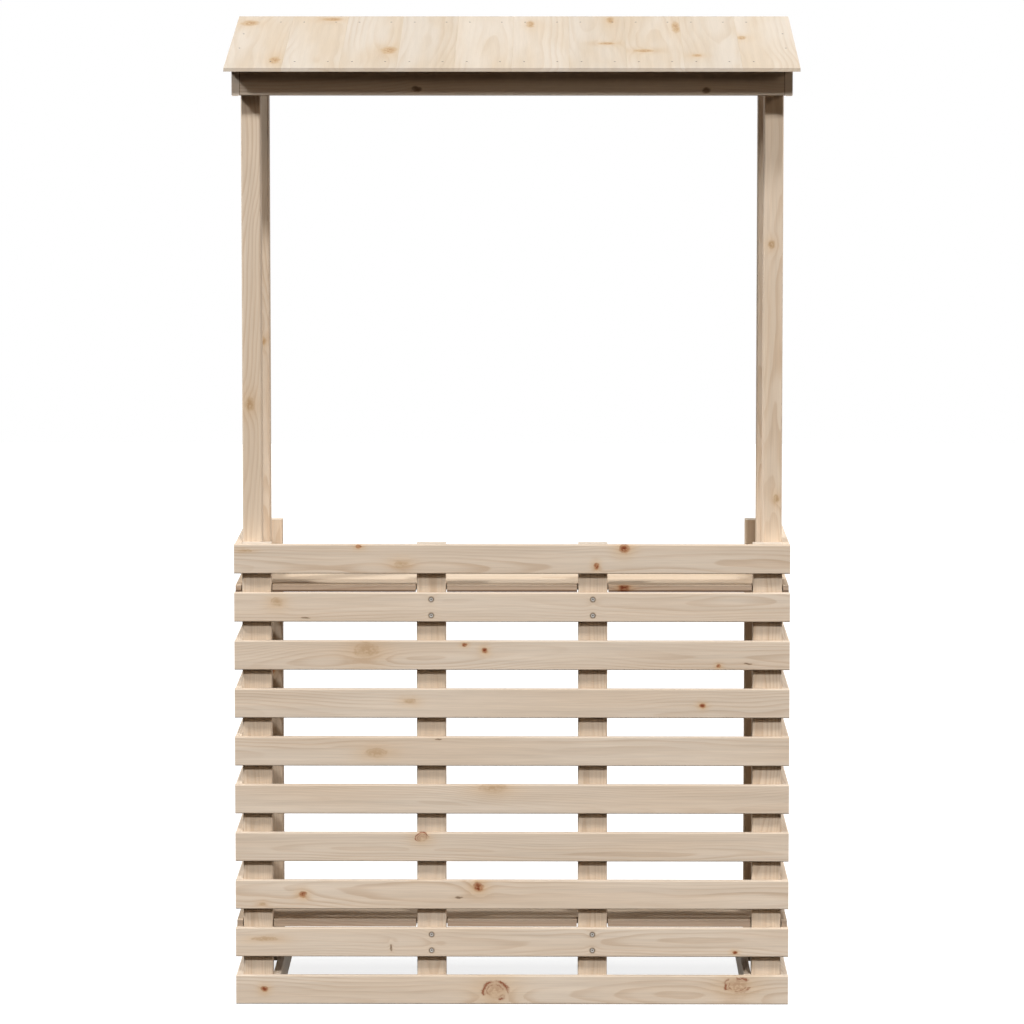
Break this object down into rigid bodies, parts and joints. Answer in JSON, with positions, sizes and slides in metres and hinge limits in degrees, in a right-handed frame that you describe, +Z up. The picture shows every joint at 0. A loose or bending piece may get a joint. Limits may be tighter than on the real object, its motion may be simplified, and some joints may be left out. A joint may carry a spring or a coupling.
{
  "type": "garden bar",
  "caption": "Garden bar in planed pine: slatted front and sides round a counter shelf and a lower shelf, with posts that carry a boarded roof of one pitch.",
  "frame": {"origin": "on the ground, under the middle of the roof", "axes": "+Z up, -Y the slatted front, +X to the right of someone who faces the front"},
  "size_m": [1.125, 0.57, 1.955],
  "materials": {
    "pine_slat": "planed",
    "pine_timber": "planed",
    "pine_shelf": "planed",
    "pine_roof": "planed"
  },
  "bodies": {
    "root": {"front_slat_01": "pine_slat", "front_slat_02": "pine_slat", "front_slat_03": "pine_slat", "front_slat_04": "pine_slat", "front_slat_05": "pine_slat", "front_slat_06": "pine_slat", "front_slat_07": "pine_slat", "front_slat_08": "pine_slat", "front_slat_09": "pine_slat", "front_slat_10": "pine_slat", "side_slats_left": "pine_slat", "side_slats_right": "pine_slat", "front_corner_stud_left": "pine_timber", "front_corner_stud_right": "pine_timber", "front_middle_stud_left": "pine_timber", "front_middle_stud_right": "pine_timber", "rear_stud_left": "pine_timber", "rear_stud_right": "pine_timber", "front_post_left": "pine_timber", "front_post_right": "pine_timber", "rear_post_left": "pine_timber", "rear_post_right": "pine_timber", "ground_rail_left": "pine_slat", "ground_rail_right": "pine_slat", "roof_side_board_left": "pine_slat", "roof_side_board_right": "pine_slat", "counter_shelf": "pine_shelf", "lower_shelf": "pine_shelf", "roof_front_beam": "pine_slat", "roof_rear_beam": "pine_slat", "roof_board_01": "pine_roof", "roof_board_02": "pine_roof", "roof_board_03": "pine_roof", "roof_board_04": "pine_roof", "roof_board_05": "pine_roof", "roof_board_06": "pine_roof", "roof_board_07": "pine_roof", "roof_board_08": "pine_roof", "roof_board_09": "pine_roof", "roof_board_10": "pine_roof"}
  },
  "joints": []
}
